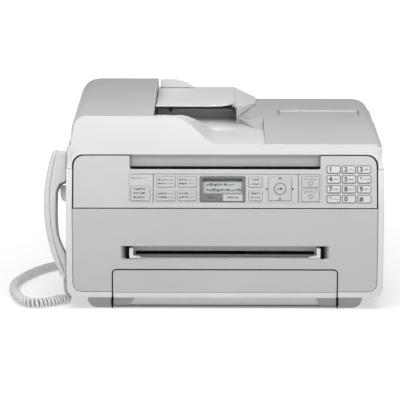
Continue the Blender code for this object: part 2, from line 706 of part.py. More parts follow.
def curled_sheet(left, right, front, back, corner, level, lip, thick):
    """A sheet that curls up to a lip along its front edge, and round its front right corner."""
    across, along = 22, 14
    rows = []
    for i in range(across + 1):
        x = left + (right - left) * i / across
        into = max(0.0, x - (right - corner))
        nose = front + corner - math.sqrt(corner**2 - into**2)
        for k in range(along + 1):
            t = k / along
            rows.append((x, nose + (back - nose) * t, level + lip * (1 - t) ** 2.5))
    points = rows + [(x, y, z - thick) for x, y, z in rows]
    top = [[(i + a) * (along + 1) + k + b for a, b in ((0, 0), (1, 0), (1, 1), (0, 1))] for i in range(across) for k in range(along)]
    count = len(rows)
    rim = [i * (along + 1) for i in range(across + 1)]
    rim += [across * (along + 1) + k for k in range(1, along + 1)]
    rim += [i * (along + 1) + along for i in range(across - 1, -1, -1)]
    rim += list(range(along - 1, 0, -1))
    faces = top + [[count + i for i in reversed(face)] for face in top]
    faces += [[a, b, count + b, count + a] for a, b in zip(rim, rim[1:] + rim[:1])]
    return points, faces


def document_tray(machine):
    sheet = curled_sheet(-88.7, 13.0, -62.0, 118.0, 30.0, 231.0, 9.2, 2.2)
    slope = [(9.0, 230.8), (13.0, 230.8), (41.8, 216.6), (41.8, 216.1), (15.3, 216.1), (15.3, 229.0), (9.0, 229.0)]
    slope_plan = [(9.0, -28.0), (13.0, -28.0), (41.8, 74.0), (41.8, 121.0), (9.0, 117.0)]
    apron = tool_of(
        "document_tray_apron", prism("y", slope, -40.0, 130.0), machine, keep(prism("z", slope_plan, 200.0, 250.0))
    )
    piece("document_tray", WHITE, sheet, machine, join(apron))
    low, high = 232.4, LID_TOP - 0.2
    crest = smooth([(-66.0, high), (-58.0, 241.6), (-50.0, 237.8), (-43.0, 234.0), (-39.0, low)], 3)
    guide = [(-86.5, low), (-86.5, high), *crest]
    piece("document_guide", WHITE, prism("y", guide, 106.0, 109.0), machine, origin=(-65.0, 107.5, 237.0))


# ---------------------------------------------------------------- handset and cord


def handset_outer():
    """The outer silhouette in the handset's frame, from its bottom end up: an arc with short end curves."""
    bulge, middle, radius = -HANDSET_REACH, 95.0, 195.0
    return [(bulge + (s - middle) ** 2 / (2 * radius), s) for s in [3.0 + 15.6 * i for i in range(11)]]


def handset_seam():
    stations = [3.0 + 15.6 * i for i in range(11)]
    return [(-221.9 + (s - 98.0) ** 2 / (2 * 215.0), s) for s in stations]


def handset(machine, frame_of_handset):
    half = HANDSET_HALF_WIDTH
    outer, seam = handset_outer(), handset_seam()
    top = 161.0
    shell = outer + [(-213.0, top)] + [(x - GAP / 2, s) for x, s in reversed(seam)] + [(-201.6, 0.6), (-203.2, 0.6)]
    piece("handset_outer_shell", WHITE, prism("y", shell, -half, half), frame_of_handset, origin=(0, 0, 0))
    face = HANDSET_FACE
    hollow = [(face, 29.0), (-204.6, 37.0), (-209.5, 48.0), (-212.5, 60.0), (-213.6, 78.0), (-213.6, 96.0), (-213.2, 110.0)]
    grip = smooth(hollow, 2)
    inner = [(x + GAP / 2, s) for x, s in seam] + [(-212.4, top), (face, top - 3.0), (face, 122.0), (-208.6, 120.0)]
    inner += list(reversed(grip)) + [(face, 2.2)]
    piece("handset_inner_shell", WHITE, prism("y", inner, -half, half), frame_of_handset)

    plate = prism("y", rectangle((-200.3, -198.8), (3.0, 166.0)), -25.0, 25.0)
    hook = [(-199.5, 117.6), (-208.6, 118.0), (-208.6, 106.0), (-206.8, 99.0), (-199.5, 94.5)]
    pass_through = prism("y", rectangle((-202.0, -190.0), (137.0, 145.0)), -4.0, 4.0)
    steps = join(prism("y", hook, -11.0, 11.0)) + cut(pass_through)
    piece("handset_cradle", WHITE, plate, frame_of_handset, steps)
    button = prism("y", rectangle((-200.3, -188.0), (138.0, 144.0)), -3.0, 3.0)
    piece("hook_switch", GREY, button, frame_of_handset, origin=(-195.0, 0, 141.0))

    plug = prism("z", rectangle((-205.0, -200.4), (-3.2, 3.2)), -4.5, 0.3)
    boot = prism("z", circle((CORD_EXIT, 0.0), 2.6, 12), -BOOT_LENGTH, -4.0)
    piece("handset_plug", WHITE, plug, frame_of_handset, join(boot))


def cord(machine):
    """The straight lead under the handset, the coil on the table and the tail up to the jack in the side."""
    reach = BOOT_LENGTH + 1.5
    tip = Vector(HANDSET_BASE) + Vector((CORD_EXIT, -math.sin(HANDSET_TILT) * reach, -math.cos(HANDSET_TILT) * reach))
    lead = [tuple(tip), (-202.2, -147.4, 18.5), (-201.6, -149.2, 16.4), (-200.8, -150.0, 14.9)]
    tube("cord_lead", WHITE, lead, CORD_RADIUS, machine, 2)
    coil = [
        (-195.4, -153.6),
        (-209.0, -157.5),
        (-222.0, -167.5),
        (-236.0, -172.5),
        (-250.0, -167.5),
        (-262.0, -145.0),
        (-270.5, -110.0),
        (-271.0, -80.0),
        (-264.5, -53.0),
        (-255.5, -31.0),
        (-244.0, -10.0),
        (-232.0, 5.0),
        (-219.0, 15.0),
    ]
    tube("cord_coil", WHITE, [(x, y, COIL_HEIGHT) for x, y in coil], COIL_RADIUS, machine, 4, 3)
    tail = [
        (-218.4, 15.4, COIL_HEIGHT),
        (-214.0, 18.4, 8.6),
        (-209.5, 21.6, 17.0),
        (-206.0, 24.0, 26.0),
        (-202.0, 25.0, 29.8),
        (-196.0, 25.0, 30.0),
    ]
    tube("cord_tail", WHITE, tail, CORD_RADIUS, machine, 3)


def main():
    for item in list(bpy.data.objects):
        bpy.data.objects.remove(item)
    machine = frame("machine", ((HANDSET_REACH - HALF_WIDTH) / 2, 0, 0))
    panel = frame("panel_plane", (0, FRONT, FRONT_TOP), math.radians(90) - PANEL_LEAN, machine)
    side = frame("handset_frame", HANDSET_BASE, -HANDSET_TILT, machine)
    base_chassis(machine)
    side_cover(machine, "left_side_cover", -1, side)
    side_cover(machine, "right_side_cover", 1)
    rear_pieces(machine)
    front_cover(machine)
    cassette(machine)
    paper_guides(machine)
    control_panel(machine, panel)
    panel_keys(panel)
    display(panel)
    print_engine(machine)
    scanner_unit(machine)
    document_lid(machine)
    right_top_cover(machine)
    document_feeder(machine)
    document_tray(machine)
    handset(machine, side)
    cord(machine)


main()
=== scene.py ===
"""Looks of the laser fax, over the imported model: rounded shells, printed marks, plastics, cord and studio.

Lengths are in millimetres in the machine's own frame, X to the right, Y to the back and Z up, with X = 0 on
its centre plane. The matrices MACHINE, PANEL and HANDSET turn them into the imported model's metres.
"""

import json
import math

import bmesh
import bpy
from mathutils import Matrix, Vector

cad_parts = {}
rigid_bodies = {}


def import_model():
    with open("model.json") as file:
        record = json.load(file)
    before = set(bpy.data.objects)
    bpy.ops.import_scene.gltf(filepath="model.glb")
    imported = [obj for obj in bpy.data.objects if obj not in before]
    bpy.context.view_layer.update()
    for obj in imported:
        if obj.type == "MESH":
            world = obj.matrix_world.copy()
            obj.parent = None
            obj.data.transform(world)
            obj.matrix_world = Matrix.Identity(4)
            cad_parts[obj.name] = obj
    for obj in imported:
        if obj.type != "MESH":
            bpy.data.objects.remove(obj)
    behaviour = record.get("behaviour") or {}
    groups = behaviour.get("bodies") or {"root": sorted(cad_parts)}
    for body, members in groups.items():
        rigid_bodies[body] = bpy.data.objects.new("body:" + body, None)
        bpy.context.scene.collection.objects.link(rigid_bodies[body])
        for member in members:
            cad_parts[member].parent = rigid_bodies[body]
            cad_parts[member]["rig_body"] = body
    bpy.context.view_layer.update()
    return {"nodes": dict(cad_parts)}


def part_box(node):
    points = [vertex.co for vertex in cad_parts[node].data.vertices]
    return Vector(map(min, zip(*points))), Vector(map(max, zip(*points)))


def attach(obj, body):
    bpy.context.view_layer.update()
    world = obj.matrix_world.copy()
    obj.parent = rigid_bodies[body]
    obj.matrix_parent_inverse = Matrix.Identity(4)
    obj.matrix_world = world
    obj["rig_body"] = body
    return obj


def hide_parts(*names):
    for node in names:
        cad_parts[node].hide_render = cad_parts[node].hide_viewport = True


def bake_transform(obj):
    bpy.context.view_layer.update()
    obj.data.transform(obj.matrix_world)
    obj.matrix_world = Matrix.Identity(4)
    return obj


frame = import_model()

MM = 0.001
cover_low, cover_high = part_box("front_cover")
CENTRE = (cover_low.x + cover_high.x) / 2
FRONT = round(cover_low.y / MM, 1)
PANEL_FOOT = 131.0
PANEL_LEAN = math.radians(19.3)
HANDSET_BASE = (0.0, -142.8, 31.5)
HANDSET_TILT = math.radians(15.0)

MACHINE = Matrix.Translation((CENTRE, 0, 0)) @ Matrix.Scale(MM, 4)
# panel plane: u along X, v up its slope, w out of it
PANEL_TURN = Matrix.Rotation(math.radians(90) - PANEL_LEAN, 4, "X")
PANEL = MACHINE @ Matrix.Translation((0, FRONT, PANEL_FOOT)) @ PANEL_TURN
# handset: x and y across, z along it from its bottom end
HANDSET = MACHINE @ Matrix.Translation(HANDSET_BASE) @ Matrix.Rotation(-HANDSET_TILT, 4, "X")


# ---------------------------------------------------------------- outlines


def arc(centre, radius, start, end, steps=8):
    """Points on an arc, its angles in degrees."""
    angles = [math.radians(start + (end - start) * i / steps) for i in range(steps + 1)]
    return [(centre[0] + radius * math.cos(a), centre[1] + radius * math.sin(a)) for a in angles]


def rectangle(x, y, radius=0.0, steps=6):
    (x0, x1), (y0, y1) = x, y
    if not radius:
        return [(x0, y0), (x1, y0), (x1, y1), (x0, y1)]
    corners = [(x0, y0, 180), (x1, y0, 270), (x1, y1, 0), (x0, y1, 90)]
    points = []
    for x, y, start in corners:
        centre = (x + radius if x == x0 else x - radius, y + radius if y == y0 else y - radius)
        points += arc(centre, radius, start, start + 90, steps)
    return points


def around(centre, size, radius=0.0):
    (u, v), (width, height) = centre, size
    return rectangle((u - width / 2, u + width / 2), (v - height / 2, v + height / 2), radius)


def smooth(points, steps=6):
    """Points on a Catmull-Rom curve through the given ones, of any dimension."""
    before = [2 * a - b for a, b in zip(points[0], points[1])]
    after = [2 * a - b for a, b in zip(points[-1], points[-2])]
    knots = [before, *points, after]

    def between(a, b, c, d, t):
        square = (2 * a - 5 * b + 4 * c - d) * t**2
        cube = (3 * b - a - 3 * c + d) * t**3
        return 0.5 * (2 * b + (c - a) * t + square + cube)

    curve = []
    for quad in zip(knots, knots[1:], knots[2:], knots[3:]):
        for k in range(steps):
            curve.append(tuple(between(*values, k / steps) for values in zip(*quad)))
    curve.append(tuple(points[-1]))
    return curve


# ---------------------------------------------------------------- materials


def nodes_of(material):
    tree = material.node_tree
    return tree.nodes, tree.links, tree.nodes["Principled BSDF"]


def plastic(name, colour, roughness=0.45, grain=0.12, grain_size=0.45, tone=0.025, coat=0.0, shine=0.4):
    """Moulded plastic: a fine spark-eroded grain, with a slight drift in its colour and its gloss.

    grain is the strength of the bump and grain_size its pitch; tone is how far the colour drifts.
    """
    material = bpy.data.materials.new(name)
    material.use_nodes = True
    nodes, links, shader = nodes_of(material)
    shader.inputs["Specular IOR Level"].default_value = shine
    shader.inputs["Coat Weight"].default_value = coat
    place = nodes.new("ShaderNodeTexCoord")

    fine = nodes.new("ShaderNodeTexNoise")
    fine.inputs["Scale"].default_value = 1 / (grain_size * MM)
    fine.inputs["Detail"].default_value = 3.0
    links.new(place.outputs["Object"], fine.inputs["Vector"])
    bump = nodes.new("ShaderNodeBump")
    bump.inputs["Strength"].default_value = grain
    bump.inputs["Distance"].default_value = 0.06 * MM
    links.new(fine.outputs["Fac"], bump.inputs["Height"])
    links.new(bump.outputs["Normal"], shader.inputs["Normal"])

    drift = nodes.new("ShaderNodeTexNoise")
    drift.inputs["Scale"].default_value = 9.0
    drift.inputs["Detail"].default_value = 2.0
    links.new(place.outputs["Object"], drift.inputs["Vector"])
    shades = nodes.new("ShaderNodeValToRGB")
    for element, factor, position in zip(shades.color_ramp.elements, (1 - tone, 1 + tone), (0.3, 0.7)):
        element.position = position
        element.color = (*(min(1.0, c * factor) for c in colour), 1.0)
    links.new(drift.outputs["Fac"], shades.inputs["Fac"])
    links.new(shades.outputs["Color"], shader.inputs["Base Color"])

    gloss = nodes.new("ShaderNodeMapRange")
    gloss.inputs["To Min"].default_value = roughness - 0.05
    gloss.inputs["To Max"].default_value = roughness + 0.05
    links.new(fine.outputs["Fac"], gloss.inputs["Value"])
    links.new(gloss.outputs["Result"], shader.inputs["Roughness"])
    return material


def steel():
    """Rolled sheet with fine brushing along X."""
    material = plastic("zinc_steel", (0.60, 0.60, 0.61), 0.32, 0.08)
    nodes, links, shader = nodes_of(material)
    shader.inputs["Metallic"].default_value = 1.0
    stretch = nodes.new("ShaderNodeMapping")
    stretch.inputs["Scale"].default_value = (0.02, 1.0, 1.0)
    place = nodes["Texture Coordinate"]
    links.new(place.outputs["Object"], stretch.inputs["Vector"])
    links.new(stretch.outputs["Vector"], nodes["Noise Texture"].inputs["Vector"])
    return material


def clear_glass(name, tint, roughness=0.03):
    """Flat glass, seen as a dark glossy plate because what is under it is dark."""
    material = plastic(name, tint, 0.08, 0.0, 2.0, 0.06, 0.6)
    shader = material.node_tree.nodes["Principled BSDF"]
    shader.inputs["Coat Roughness"].default_value = roughness
    return material


SHELL = plastic("shell_plastic", (0.60, 0.60, 0.597), 0.42)
TOP = plastic("top_plastic", (0.46, 0.46, 0.46), 0.38)
FACE = plastic("front_plastic", (0.45, 0.45, 0.45), 0.5)
PANEL_SKIN = plastic("panel_plastic", (0.445, 0.445, 0.442), 0.42)
AREA_KEY = plastic("area_key_plastic", (0.42, 0.42, 0.418), 0.4)
NUMBER_KEY = plastic("number_key_plastic", (0.52, 0.52, 0.52), 0.35)
BASE = plastic("base_plastic", (0.38, 0.38, 0.385), 0.6, 0.2)
TRAY_SKIN = plastic("tray_plastic", (0.70, 0.70, 0.70), 0.45)
# a darker copy of the housing's white: painted shade for the wall at the back of the paper exit
NOTCH_WALL_SHADE = plastic("notch_wall_painted_shade", (0.50, 0.50, 0.50), 0.42)
CORD_SKIN = plastic("cord_jacket", (0.62, 0.62, 0.61), 0.5, 0.06)
BLACK = plastic("black_plastic", (0.012, 0.012, 0.012), 0.4)
# near black, for the dark gaps between parts and for painted shadow in deep recesses
GAP_AND_SHADOW = plastic("gap_shadow", (0.004, 0.004, 0.004), 0.9, shine=0.05)
INK = plastic("print_ink", (0.045, 0.045, 0.047), 0.6)
# pale print ink, also used for the painted shadow at the top of the display
PALE_INK_AND_SHADE = plastic("pale_ink_and_shade", (0.17, 0.17, 0.172), 0.6)
DARK_FRAME = plastic("display_frame_plastic", (0.15, 0.15, 0.15), 0.35)
LCD = plastic("display_glass", (0.42, 0.44, 0.42), 0.15, 0.0, 0.6, 0.05, 0.4)
LCD_INK = plastic("display_segments", (0.13, 0.14, 0.13), 0.3, 0.0)
RUBBER = plastic("roller_rubber", (0.03, 0.03, 0.03), 0.8, 0.3, 0.8)
BOARD = plastic("circuit_board", (0.03, 0.20, 0.09), 0.35, 0.1, 1.5, 0.2)
STEEL = steel()
PLATEN = clear_glass("platen_glass", (0.10, 0.12, 0.115))


# ---------------------------------------------------------------- meshes


def linked(name, data):
    item = bpy.data.objects.new(name, data)
    bpy.context.collection.objects.link(item)
    return item


def finish_mesh(mesh, material, sharp=34):
    mesh.materials.clear()
    mesh.materials.append(material)
    mesh.shade_smooth()
    mesh.set_sharp_from_angle(angle=math.radians(sharp))


def piece(name, shapes, material, body, place=MACHINE, bevel=0.0, segments=2, sharp=34):
    """An object made of (points, faces) shapes, in millimetres in its own plane, riding on a body."""
    built = bmesh.new()
    for points, faces in shapes:
        corners = [built.verts.new(place @ Vector(p)) for p in points]
        for face in faces:
            built.faces.new([corners[i] for i in face])
    bmesh.ops.recalc_face_normals(built, faces=built.faces)
    mesh = bpy.data.meshes.new(name)
    built.to_mesh(mesh)
    built.free()
    item = linked(name, mesh)
    if bevel:
        round_off(item, bevel, segments)
    finish_mesh(item.data, material, sharp)
    if body:
        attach(item, body)
    return item


def applied(item):
    """Makes an object's modifiers part of its mesh."""
    depsgraph = bpy.context.evaluated_depsgraph_get()
    mesh = bpy.data.meshes.new_from_object(item.evaluated_get(depsgraph))
    item.modifiers.clear()
    item.data = mesh


def round_off(item, width, segments=2, angle=30):
    """Bevels an object's sharp edges for good."""
    step = item.modifiers.new("edges", "BEVEL")
    step.width = width * MM
    step.segments = segments
    step.limit_method = "ANGLE"
    step.angle_limit = math.radians(angle)
    step.use_clamp_overlap = True
    step.miter_outer = "MITER_ARC"
    applied(item)


def flatten_shading(item):
    """Lets the large faces keep their own normals, so that only the rounded edges shade smoothly."""
    step = item.modifiers.new("normals", "WEIGHTED_NORMAL")
    step.keep_sharp = True
    step.weight = 100
    applied(item)


def prism(axis, outline, low, high):
    """An outline pushed along an axis: (y, z) along x, (x, z) along y, (x, y) along z."""
    place = {
        "x": lambda a, b, c: (c, a, b),
        "y": lambda a, b, c: (a, c, b),
        "z": lambda a, b, c: (a, b, c),
    }[axis]
    count = len(outline)
    points = [place(a, b, level) for level in (low, high) for a, b in outline]
    faces = [list(range(count)), list(range(count, 2 * count))]
    faces += [[i, (i + 1) % count, count + (i + 1) % count, count + i] for i in range(count)]
    return points, faces


def loft(sections):
    """A closed skin through rings of equal count, with a face over each end."""
    count = len(sections[0])
    points = [p for ring in sections for p in ring]
    faces = [list(range(count)), list(range(len(points) - count, len(points)))]
    for k in range(len(sections) - 1):
        base = k * count
        for i in range(count):
            j = (i + 1) % count
            faces.append([base + i, base + j, base + count + j, base + count + i])
    return points, faces


def tube(path, radius, sides=10):
    """A round tube along a path; radius is one number or a function of the distance along it."""
    rings = []
    points = [Vector(p) for p in path]
    normal = None
    length = 0.0
    for i, here in enumerate(points):
        ahead = points[min(i + 1, len(points) - 1)]
        behind = points[max(i - 1, 0)]
        direction = (ahead - behind).normalized()
        if normal is None:
            normal = direction.orthogonal()
        normal = (normal - direction * normal.dot(direction)).normalized()
        side = direction.cross(normal)
        length += (here - behind).length if i else 0.0
        size = radius(length) if callable(radius) else radius
        turn = [2 * math.pi * k / sides for k in range(sides)]
        rings.append([tuple(here + (normal * math.cos(a) + side * math.sin(a)) * size) for a in turn])
    return loft(rings)


def softened(node, material, width=0.5, segments=2, rounded=(), painted=(), sharp=34):
    """A copy of a CAD node with its edges rounded, which stands for it.

    rounded lists (chooser, width, segments): edges whose two ends the chooser picks get that radius first.
    painted lists (chooser, material): faces whose middle and normal the chooser picks get that material.
    """
    source = frame["nodes"][node]
    built = bmesh.new()
    built.from_mesh(source.data)
    bmesh.ops.remove_doubles(built, verts=built.verts, dist=2e-6)
    bmesh.ops.dissolve_limit(built, angle_limit=math.radians(0.5), verts=built.verts, edges=built.edges)
    for chooser, radius, steps in rounded:
        chosen = []
        for edge in built.edges:
            ends = [MACHINE.inverted() @ v.co for v in edge.verts]
            if len(edge.link_faces) == 2 and edge.calc_face_angle(0) > math.radians(20) and chooser(*ends):
                chosen.append(edge)
        bmesh.ops.bevel(
            built,
            geom=chosen,
            offset=radius * MM,
            segments=steps,
            profile=0.5,
            affect="EDGES",
            clamp_overlap=True,
        )
    mesh = bpy.data.meshes.new(node + "_skin")
    built.to_mesh(mesh)
    built.free()
    item = linked(node + "_skin", mesh)
    if width:
        round_off(item, width, segments)
    finish_mesh(item.data, material, sharp)
    flatten_shading(item)
    for chooser, other in painted:
        item.data.materials.append(other)
        for face in item.data.polygons:
            if chooser(MACHINE.inverted() @ face.center, face.normal):
                face.material_index = len(item.data.materials) - 1
    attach(item, source["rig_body"])
    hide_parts(node)
    return item


# ---------------------------------------------------------------- camera, light and floor


CAMERA_PITCH = 13  # degrees down
CAMERA_TURN = 0.452  # degrees to the left
FLOOR_REACH = 30.0
AIM = Vector((0, 0, 0.12))


def area_lamp(name, place, width, height, power):
    """A rectangular light that isn't seen itself, facing down until it's aimed."""
    light = bpy.data.lights.new(name, "AREA")
    light.shape = "RECTANGLE"
    light.size = width
    light.size_y = height
    light.energy = power
    lamp = linked(name, light)
    lamp.location = place
    lamp.visible_camera = False
    return lamp


def studio():
    """A long lens at the machine's front and a white sweep with soft light."""
    camera = linked("camera", bpy.data.cameras.new("camera"))
    camera.location = (CENTRE - 8.1 * MM, -3.1002, 0.8164)
    camera.rotation_euler = (math.radians(90 - CAMERA_PITCH), 0, math.radians(CAMERA_TURN))
    camera.data.sensor_width = 36.0
    camera.data.lens = 216.7
    camera.data.clip_end = 100.0
    bpy.context.scene.camera = camera

    floor_mesh = bpy.data.meshes.new("floor")
    corners = [(x, y, 0) for x, y in rectangle((-FLOOR_REACH, FLOOR_REACH), (-FLOOR_REACH, FLOOR_REACH))]
    floor_mesh.from_pydata(corners, [], [(0, 1, 2, 3)])
    floor = linked("floor", floor_mesh)
    white = bpy.data.materials.new("floor_white")
    white.use_nodes = True
    shader = white.node_tree.nodes["Principled BSDF"]
    shader.inputs["Base Color"].default_value = (0.45, 0.45, 0.45, 1.0)
    shader.inputs["Roughness"].default_value = 0.9
    shader.inputs["Emission Color"].default_value = (1.0, 1.0, 1.0, 1.0)
    # its glow makes up for the bank's light, which falls off away from the machine
    links = white.node_tree.links
    place = white.node_tree.nodes.new("ShaderNodeNewGeometry")
    distance = white.node_tree.nodes.new("ShaderNodeVectorMath")
    distance.operation = "DISTANCE"
    distance.inputs[1].default_value = (0.0, -0.5, 0.0)
    glow = white.node_tree.nodes.new("ShaderNodeMapRange")
    for field, value in (("From Min", 0.45), ("From Max", 1.3), ("To Min", 0.55), ("To Max", 0.98)):
        glow.inputs[field].default_value = value
    links.new(place.outputs["Position"], distance.inputs[0])
    links.new(distance.outputs["Value"], glow.inputs["Value"])
    links.new(glow.outputs["Result"], shader.inputs["Emission Strength"])
    floor_mesh.materials.append(white)

    world = bpy.data.worlds.new("studio")
    world.use_nodes = True
    world.node_tree.nodes["Background"].inputs["Color"].default_value = (1.0, 1.0, 1.0, 1.0)
    world.node_tree.nodes["Background"].inputs["Strength"].default_value = 0.34
    bpy.context.scene.world = world
    bpy.context.scene.view_settings.view_transform = "Standard"

    # a wide bank close above the front, which fades towards the back of the top, and two softer lights
    for name, place, width, height, power in (
        ("top_bank", (0.0, -0.50, 0.80), 1.3, 0.35, 8.4),
        ("key_light", (-1.5, -2.0, 0.9), 1.4, 1.4, 3.0),
        ("fill_light", (1.8, -2.0, 0.9), 1.8, 1.8, 2.0),
    ):
        lamp = area_lamp(name, place, width, height, power)
        lamp.rotation_euler = (AIM - Vector(place)).to_track_quat("-Z", "Y").to_euler()

    # fills the low space under the document tray
    lamp = area_lamp("tray_fill", MACHINE @ Vector((-36, -22, 229)), 85 * MM, 60 * MM, 0.013)
    lamp.data.spread = math.radians(120)


# ---------------------------------------------------------------- cord

CORD_RADIUS = 2.0
COIL_RADIUS = 6.5
COIL_HEIGHT = 6.9
CORD_EXIT = -202.3
BOOT_LENGTH = 11.0
PITCH = 4.75
COIL_ROUTE = [
    (-195.4, -153.6),
    (-209.0, -157.5),
    (-222.0, -167.5),
    (-236.0, -172.5),
    (-250.0, -167.5),
    (-262.0, -145.0),
    (-270.5, -110.0),
    (-271.0, -80.0),
    (-264.5, -53.0),
    (-255.5, -31.0),
    (-244.0, -10.0),
    (-232.0, 5.0),
    (-219.0, 15.0),
]
LEAD_ROUTE = [(-202.3, -147.6, 18.4), (-201.4, -149.6, 15.2), (-199.2, -151.6, 12.6)]
TAIL_ROUTE = [
    (-214.0, 18.4, 8.6),
    (-209.5, 21.6, 17.0),
    (-206.0, 24.0, 26.0),
    (-202.0, 25.0, 29.8),
    (-198.0, 25.0, 30.0),
]
POINTS_PER_TURN = 16
FIRST_ANGLE = 100  # degrees, where the first turn starts
EASE = 6.0  # length over which the end turns grow to full size
EASE_FROM = 0.35  # their size at the very ends


def curly_wire():
    """The wire's centre line: out of the boot, round the helix and up to the jack in the side."""
    reach = BOOT_LENGTH - 0.5
    down = Vector((0, -math.sin(HANDSET_TILT), -math.cos(HANDSET_TILT)))
    tip = Vector(HANDSET_BASE) + Vector((CORD_EXIT, 0, 0)) + down * reach
    axis = [Vector((x, y, COIL_HEIGHT)) for x, y in smooth(COIL_ROUTE, 12)]
    lengths = [0.0]
    for a, b in zip(axis, axis[1:]):
        lengths.append(lengths[-1] + (b - a).length)
    total = lengths[-1]

    def on_axis(distance):
        k = max(i for i, start in enumerate(lengths[:-1]) if start <= distance)
        t = (distance - lengths[k]) / (lengths[k + 1] - lengths[k])
        return axis[k].lerp(axis[k + 1], t), (axis[k + 1] - axis[k]).normalized()

    turns = []
    distance = 0.0
    angle = math.radians(FIRST_ANGLE)
    while distance < total - 0.01:
        place, ahead = on_axis(distance)
        side = Vector((-ahead.y, ahead.x, 0))
        size = (COIL_RADIUS - CORD_RADIUS) * min(1.0, EASE_FROM + min(distance, total - distance) / EASE)
        turns.append(place + side * math.cos(angle) * size + Vector((0, 0, math.sin(angle) * size)))
        distance += PITCH / POINTS_PER_TURN
        angle += 2 * math.pi / POINTS_PER_TURN
    lead = smooth([tuple(tip), *LEAD_ROUTE, tuple(turns[0])], 4)
    tail = smooth([tuple(turns[-1]), *TAIL_ROUTE], 4)
    return [Vector(p) for p in lead[:-1]] + turns + [Vector(p) for p in tail[1:]]


def cord():
    wire = curly_wire()
    item = piece("curly_cord", [tube(wire, CORD_RADIUS, 10)], CORD_SKIN, None, sharp=60)
    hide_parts("cord_lead", "cord_coil", "cord_tail")
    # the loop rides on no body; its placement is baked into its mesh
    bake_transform(item)
    plug = softened("handset_plug", CORD_SKIN, 0.5)
    jack = arc((25.0, 30.0), 3.4, 0, 342, 19)
    grommet = piece("jack_plug", [prism("x", jack, -199.4, -192.0)], BLACK, "casing", bevel=0.3)


# ---------------------------------------------------------------- casing


FEED_SHADOW = (119.4, 124.0)  # painted shadow that stands for the deep end of the manual feed recess
FEED_CHEEK = (124.1, 130.6)  # its slanting light end
FEED_HEIGHT = (66.4, 82.7)


def casing():
    def front_corner(a, b):
        """A long upright edge at the front of a side cover's outer face."""
        outside = abs(a.x) > 198.3 and abs(b.x) > 198.3
        return outside and max(a.y, b.y) < -160.0 and abs(a.z - b.z) > 8

    def below_lip(middle, normal):
        return middle.z < 16.3

    softened("left_side_cover", SHELL, 0.5, 2, [(front_corner, 3.6, 5)])
    softened("right_side_cover", SHELL, 0.5, 2, [(front_corner, 3.6, 5)])
    softened("base_chassis", BASE, 0.6)
    softened("front_cover", FACE, 0.35, 2)
    softened("cassette_front", FACE, 0.5, 2, painted=[(below_lip, BASE)])
    softened("cassette_tray", TRAY_SKIN, 0.5)
    softened("lift_plate", STEEL, 0.2)
    softened("rear_cover", SHELL, 0.6)
    softened("rear_door", SHELL, 0.6)
    softened("manual_guide_left", SHELL, 0.4)
    softened("manual_guide_right", SHELL, 0.4)
    softened("handset_cradle", SHELL, 0.5)
    softened("hook_switch", SHELL, 0.4)
    softened("toner_cartridge", BLACK, 0.8)
    for hand, side in (("left", -1), ("right", 1)):
        across = sorted(side * x for x in FEED_SHADOW)
        # painted shadow: a near-black block in the pocket, where the recess is deep and shade falls
        dark = prism("y", rectangle(across, FEED_HEIGHT), FRONT + 1.2, FRONT + 14.0)
        piece("feed_end_shadow_" + hand, [dark], GAP_AND_SHADOW, "casing")
        inner, outer = (side * x for x in FEED_CHEEK)
        wedge = [(inner, FRONT + 9.0), (outer, FRONT + 0.8), (outer, FRONT + 9.0)]
        piece("feed_cheek_" + hand, [prism("z", wedge, *FEED_HEIGHT)], FACE, "casing")
    for node in ("pickup_roller", "exit_roller", "feed_roller"):
        softened(node, RUBBER, 0.3)
    softened("fuser_roller", STEEL, 0.3)


def scanner():
    def shaded_exit_wall(middle, normal):
        """The wall seen through the paper exit, given a darker grey as painted shade of the recess."""
        return normal.y < -0.7 and middle.y < -140.0

    def grey_deck(middle, normal):
        """The raised deck under the tray with its front wall, and the ramp beside the right cover."""
        deck = -88.9 < middle.x < 15.0 and 31.5 < middle.y < 111.5 and middle.z > 205.2
        ramp = middle.x > 18.0 and -46.5 < middle.y < -6.8 and 205.2 < middle.z < 212.5
        return deck or ramp

    def thinning(distance):
        return 0.55 - distance * 0.008

    softened("scanner_housing", SHELL, 0.6, painted=[(shaded_exit_wall, NOTCH_WALL_SHADE)])
    softened("scanner_glass", PLATEN, 0.2)
    softened("scan_carriage", BLACK, 0.5)
    softened("document_lid", SHELL, 0.5, 3, painted=[(grey_deck, TOP)])
    softened("platen_pad", TRAY_SKIN, 0.8)
    softened("right_top_cover", TOP, 0.5, 3)
    softened("feeder_cover", TOP, 0.6, 3)
    # painted highlight: a strip in the lighter shell colour along the recess's rear edge, where light
    # catches it
    edge = prism("x", rectangle((33.7, 34.4), (213.2, 215.1)), 70.8, 175.7)
    piece("recess_edge_highlight", [edge], SHELL, "lid", bevel=0.15)
    for name, x in (("recess_side_left", 70.75), ("recess_side_right", 175.75)):
        side = tube([(x, 34.0, 215.1), (x, 18.0, 214.9), (x, 0.0, 214.5)], thinning, 8)
        piece(name, [side], INK, "lid", sharp=60)
    # painted highlights: thin lines in the lighter shell colour along the inset plate's edges
    for i, (y, z) in enumerate(((79.0, 215.66), (40.0, 215.28))):
        line = prism("z", rectangle((16.6, 48.0), (y, y + 1.0)), z - 0.3, z + 0.12)
        piece(f"plate_edge_highlight_{i + 1}", [line], SHELL, "lid", bevel=0.04)
    for name, x in (("tray_stop_left", -72.0), ("tray_stop_right", 8.5)):
        stop = prism("y", rectangle((x, x + 4.4), (229.6, 235.4), 0.6, 3), -52.0, -46.0)
        piece(name, [stop], BLACK, "lid", bevel=0.3)
    softened("document_tray", TRAY_SKIN, 0.5, 2)
    softened("document_guide", SHELL, 0.4)


# ---------------------------------------------------------------- control panel

